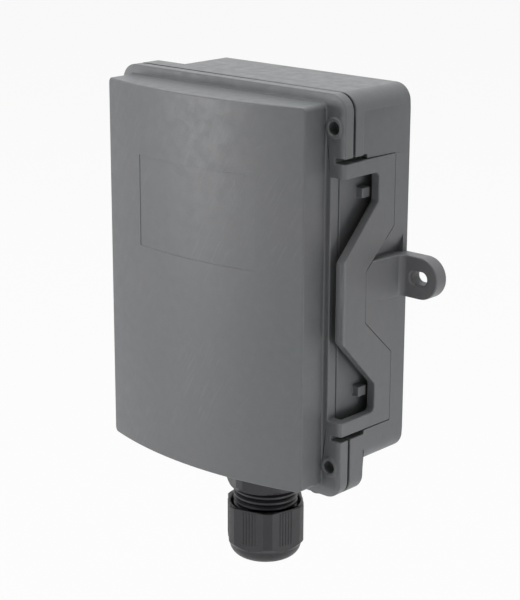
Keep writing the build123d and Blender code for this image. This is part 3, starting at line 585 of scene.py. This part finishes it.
def build_tubes():
    """Round tubes from the faceted ones."""
    for node in ("tube_plus", "tube_minus"):
        piece = add_piece(node + "_round", copy_of(node), "tube_silicone", "housing", (node,))
        rounding = piece.modifiers.new("round section", "SUBSURF")
        rounding.levels = rounding.render_levels = 1


def sink_recesses(shape):
    """Gives each screw head a round shoulder and a six-lobed recess."""
    shoulder, rim, depth, lobe_share, hair = 0.35 * MM, 0.85 * MM, 1.1 * MM, 0.16, 0.0001 * MM
    front = min(point.co.y for point in shape.verts) + 0.01 * MM
    heads = [face for face in shape.faces if face.normal.y < -0.99 and face.calc_center_median().y < front]
    for face in heads:
        bmesh.ops.inset_individual(shape, faces=[face], thickness=shoulder, depth=0.0)
        bmesh.ops.translate(shape, verts=face.verts[:], vec=(0, -hair, 0))
        bmesh.ops.inset_individual(shape, faces=[face], thickness=rim, depth=0.0)
        middle = face.calc_center_median()
        for point in face.verts:
            arm = point.co - middle
            point.co = middle + arm * (1.0 + lobe_share * cos(6 * atan2(arm.z, arm.x)))
        walls = bmesh.ops.extrude_discrete_faces(shape, faces=[face])
        floor = walls["faces"][0]
        bmesh.ops.translate(shape, verts=floor.verts[:], vec=(0, depth, 0))


def build_board_parts():
    """Board, terminal block and small parts with softened edges."""
    for node, edge in (
        ("circuit_board", 0.1), ("pressure_cell", 0.4), ("terminal_block", 0.25), ("switch_block", 0.2),
        ("button_case", 0.2), ("zero_button", 0.3), ("processor", 0.12), ("capacitors", 0.5),
        ("status_lamp", 0.2), ("terminal_screws", 0.15),
    ):
        soften(node, edge)
    screws = copy_of("board_screws")
    sink_recesses(screws)
    add_piece("board_screws_recessed", screws, "screw_steel", "housing", ("board_screws",))


# Board detail

BOARD_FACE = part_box("circuit_board")[0].y
# points of (x, z) in mm, number of tracks side by side, step from one to the next
BUNDLES = (
    (((-9.8, 34.5), (-9.8, 31.8), (-12.5, 29.1), (-12.5, 26.0)), 3, (0.85, 0)),
    (((-20.0, 22.5), (-22.0, 20.5), (-22.0, -12.0), (-20.0, -14.0)), 3, (-0.9, 0)),
    (((23.0, -14.0), (17.0, -14.0), (14.5, -11.5), (14.5, 24.0), (12.0, 26.5), (8.2, 26.5)), 2, (-0.9, -0.9)),
    (((22.4, 25.0), (21.0, 26.4), (21.0, 31.0), (18.5, 33.5), (18.5, 35.0)), 2, (0.9, 0)),
    (((9.0, 36.5), (9.0, 34.5), (5.0, 30.5), (5.0, 30.0)), 1, (0, 0)),
    (((12.5, 37.5), (12.5, 31.0), (9.8, 28.3)), 3, (0.9, 0)),
    (((-19.0, -21.0), (24.0, -21.0)), 2, (0, -0.9)),
    (((-19.0, 46.6), (24.0, 46.6)), 2, (0, -0.9)),
    (
        ((-15.2, 12.3), (-15.2, 8.0), (-11.2, 4.0), (-11.2, -4.0), (-4.2, -11.0), (0.5, -11.0)),
        3, (0.85, 0.85),
    ),
    (((-8.0, 24.0), (-5.0, 27.0), (-0.2, 27.0)), 2, (0, 0.9)),
    (((-19.0, 41.0), (-16.0, 44.0), (9.0, 44.0), (14.0, 39.0), (16.2, 39.0)), 1, (0, 0)),
)
# middles of the two-ended chip parts, (x, z) in mm
SMALL_PARTS = (
    (-22.4, 27.0), (-22.4, 29.2), (-22.4, 31.4), (-18.0, 28.6), (-18.0, 30.8), (-6.3, 31.4),
    (-3.2, 31.4), (-3.2, 33.0), (10.2, 33.2), (16.0, 27.0), (16.2, 31.2), (18.6, 29.6),
    (20.0, 22.0), (20.0, 19.4), (20.0, 9.0), (20.0, 6.6), (20.6, 1.8), (20.6, -2.2),
    (2.4, -2.6), (2.4, -4.8), (2.4, -7.0), (-16.0, 34.6), (-16.0, 37.0),
)
# printed frames: middle (x, z), width and height in mm
FRAMES = (
    (4.0, 27.5, 6.2, 7.4), (2.5, 15.0, 21.2, 15.2), (-14.0, 20.0, 13.0, 13.0), (9.0, 38.0, 4.4, 4.4),
)


def legs(shape, middle, reach, sides, count, pitch):
    """Bent tin-plated legs along the given sides of a chip, from its middle out to its reach in mm."""
    sheet, width = 0.14 * MM, 0.3 * MM
    shank, foot = (0.9, 0.35, 0.1), (0.8, 1.0, 0.6)
    for side in sides:
        turn = Matrix.Translation(middle) @ Matrix.Rotation(side * pi / 2, 4, "Y")
        for number in range(count):
            along = (number - (count - 1) / 2) * pitch * MM
            for length, out, rise in (shank, foot):
                size = Matrix.Diagonal((length * MM, sheet, width, 1))
                where = Matrix.Translation(((reach + out) * MM, rise * MM, along))
                bmesh.ops.create_cube(shape, size=1.0, matrix=turn @ where @ size)


def block(shape, x, z, size):
    """Block of (length, thickness, height) in mm that lies on the board."""
    place = Matrix.Translation((x * MM, BOARD_FACE - size[1] / 2 * MM, z * MM))
    bmesh.ops.create_cube(shape, size=1.0, matrix=place @ Matrix.Diagonal((*(part * MM for part in size), 1)))


def strip(shape, points, width, thickness):
    """Flat strip with mitred bends that runs over the board along points of (x, z) in mm."""
    route = [Vector(point) for point in points]
    runs = [(after - before).normalized() for before, after in zip(route, route[1:])]
    rows, sunk = [], -0.02
    for number, point in enumerate(route):
        before, after = runs[max(number - 1, 0)], runs[min(number, len(runs) - 1)]
        heading = (before + after).normalized()
        side = Vector((-heading.y, heading.x)) * width / 2 / heading.dot(after)
        left, right = point + side, point - side
        rows.append([
            shape.verts.new((spot.x * MM, BOARD_FACE - depth * MM, spot.y * MM))
            for spot, depth in ((left, thickness), (right, thickness), (right, sunk), (left, sunk))
        ])
    for first, second in zip(rows, rows[1:]):
        for corner in range(4):
            shape.faces.new((first[corner - 1], first[corner], second[corner], second[corner - 1]))
    shape.faces.new(rows[0])
    shape.faces.new(rows[-1])


def outline(shape, x, z, width, height):
    """Printed frame round a part on the board, in mm."""
    left, right, low, high = x - width / 2, x + width / 2, z - height / 2, z + height / 2
    corners = ((left, z), (left, high), (right, high), (right, low), (left, low), (left, z))
    strip(shape, corners, width=0.22, thickness=0.03)


def lay_tracks(tracks, tin):
    """Tracks side by side, with a round tinned pad at each end."""
    faced_out = Matrix.Rotation(pi / 2, 4, "X")
    radius, pad_thickness, pad_rise = 0.38 * MM, 0.1 * MM, 0.03 * MM
    for points, count, (step_x, step_z) in BUNDLES:
        for number in range(count):
            moved = [(x + number * step_x, z + number * step_z) for x, z in points]
            strip(tracks, moved, width=0.4, thickness=0.05)
            for x, z in (moved[0], moved[-1]):
                place = Matrix.Translation((x * MM, BOARD_FACE - pad_rise, z * MM)) @ faced_out
                bmesh.ops.create_cone(
                    tin, cap_ends=True, segments=16, radius1=radius, radius2=radius,
                    depth=pad_thickness, matrix=place,
                )


def set_small_parts(bodies, tin):
    """Two-ended chip parts with their caps and solder."""
    body_size, cap_size, solder_size = (1.1, 0.5, 0.8), (0.4, 0.52, 0.84), (0.7, 0.1, 0.9)
    cap_x, solder_x = 0.7, 1.05
    for x, z in SMALL_PARTS:
        block(bodies, x, z, body_size)
        for side in (-1, 1):
            block(tin, x + side * cap_x, z, cap_size)
            block(tin, x + side * solder_x, z, solder_size)


def set_chips(bodies, tin):
    """Eight-legged chip, crystal can and the processor's legs."""
    chip_x, chip_z, chip_size = 4.0, 27.5, (5.0, 1.4, 3.9)
    crystal_x, crystal_z, crystal_size = -19.5, 9.5, (4.6, 1.3, 1.9)
    block(bodies, chip_x, chip_z, chip_size)
    block(tin, crystal_x, crystal_z, crystal_size)
    chip_middle = Vector((chip_x * MM, BOARD_FACE - chip_size[1] / 2 * MM, chip_z * MM))
    legs(tin, chip_middle, chip_size[2] / 2, sides=(1, 3), count=4, pitch=1.27)
    low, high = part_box("processor")
    legs(tin, (low + high) / 2, (high.x - low.x) / 2 / MM, sides=range(4), count=9, pitch=0.85)


def build_board_surface():
    """Tracks, printed frames and small soldered parts on the board."""
    tracks, frames, bodies, tin = (bmesh.new() for _ in range(4))
    lay_tracks(tracks, tin)
    set_small_parts(bodies, tin)
    set_chips(bodies, tin)
    for place_and_size in FRAMES:
        outline(frames, *place_and_size)
    bmesh.ops.recalc_face_normals(tracks, faces=tracks.faces)
    bmesh.ops.recalc_face_normals(frames, faces=frames.faces)
    add_piece("board_tracks", tracks, "board", "housing", finish="board_tracks")
    add_piece("board_print", frames, "board", "housing", finish="board_print")
    add_piece("small_parts", bodies, "chip_plastic", "housing", edge=0.08)
    add_piece("soldered_metal", tin, "screw_steel", "housing")


# The whole

DRESSED_ONLY = (
    "lid_gasket", "hinge_pin", "gland_washer", "gland_locknut", "gland_seal", "gland_clamp_ring",
    "port_seals", "port_nuts", "lever_1", "lever_2", "lever_3", "lever_4",
)

place_camera()
light_the_room()
lay_floor()
for node in DRESSED_ONLY:
    dress(node)
build_housing()
build_gland()
build_ports()
build_tubes()
build_board_parts()
build_board_surface()

scene = bpy.context.scene
scene.view_settings.view_transform = "Standard"
